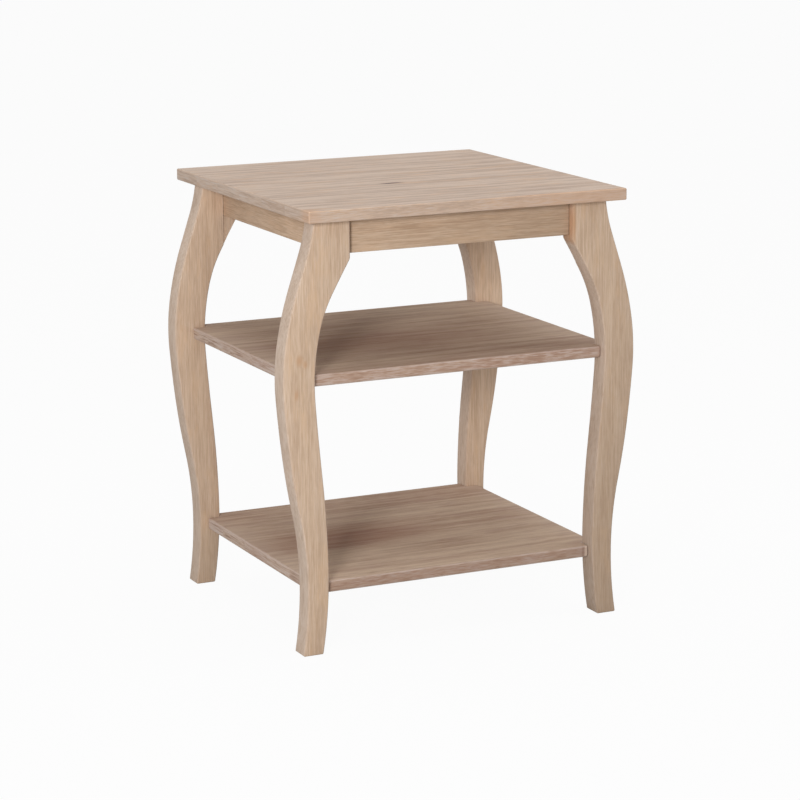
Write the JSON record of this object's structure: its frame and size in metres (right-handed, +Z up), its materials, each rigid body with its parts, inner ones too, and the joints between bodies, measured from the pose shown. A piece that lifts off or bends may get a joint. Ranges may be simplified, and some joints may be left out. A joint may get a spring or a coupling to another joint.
{
  "type": "end table",
  "caption": "Square end table of lime-washed wood with a plain top, S-curved board legs, set-back aprons, and open middle and bottom shelves notched round the legs.",
  "frame": {"origin": "on the floor under the middle of the table top", "axes": "+Z up, +X to the right as seen from the front, +Y to the back; the legs curve in the X-Z plane"},
  "size_m": [0.5544, 0.495, 0.635],
  "materials": {
    "top_wood": "pale lime-washed wood, satin, open grain running left to right",
    "leg_wood": "lime-washed wood, satin, grain along the leg",
    "apron_wood": "lime-washed wood, satin, a little darker, grain along the apron",
    "shelf_wood": "lime-washed wood, satin, greyer, grain running left to right",
    "block_wood": "bare sawn wood",
    "screw_steel": "zinc-plated"
  },
  "bodies": {
    "root": {"apron_back": "apron_wood", "apron_front": "apron_wood", "apron_left": "apron_wood", "apron_right": "apron_wood", "block_screws": "screw_steel", "bolt_nuts": "screw_steel", "bolt_washers": "screw_steel", "corner_block_back_left": "block_wood", "corner_block_back_right": "block_wood", "corner_block_front_left": "block_wood", "corner_block_front_right": "block_wood", "leg_back_left": "leg_wood", "leg_back_right": "leg_wood", "leg_bolts": "screw_steel", "leg_front_left": "leg_wood", "leg_front_right": "leg_wood", "shelf_bottom": "shelf_wood", "shelf_middle": "shelf_wood", "shelf_screws": "screw_steel", "table_top": "top_wood", "top_screws": "screw_steel"}
  },
  "joints": []
}
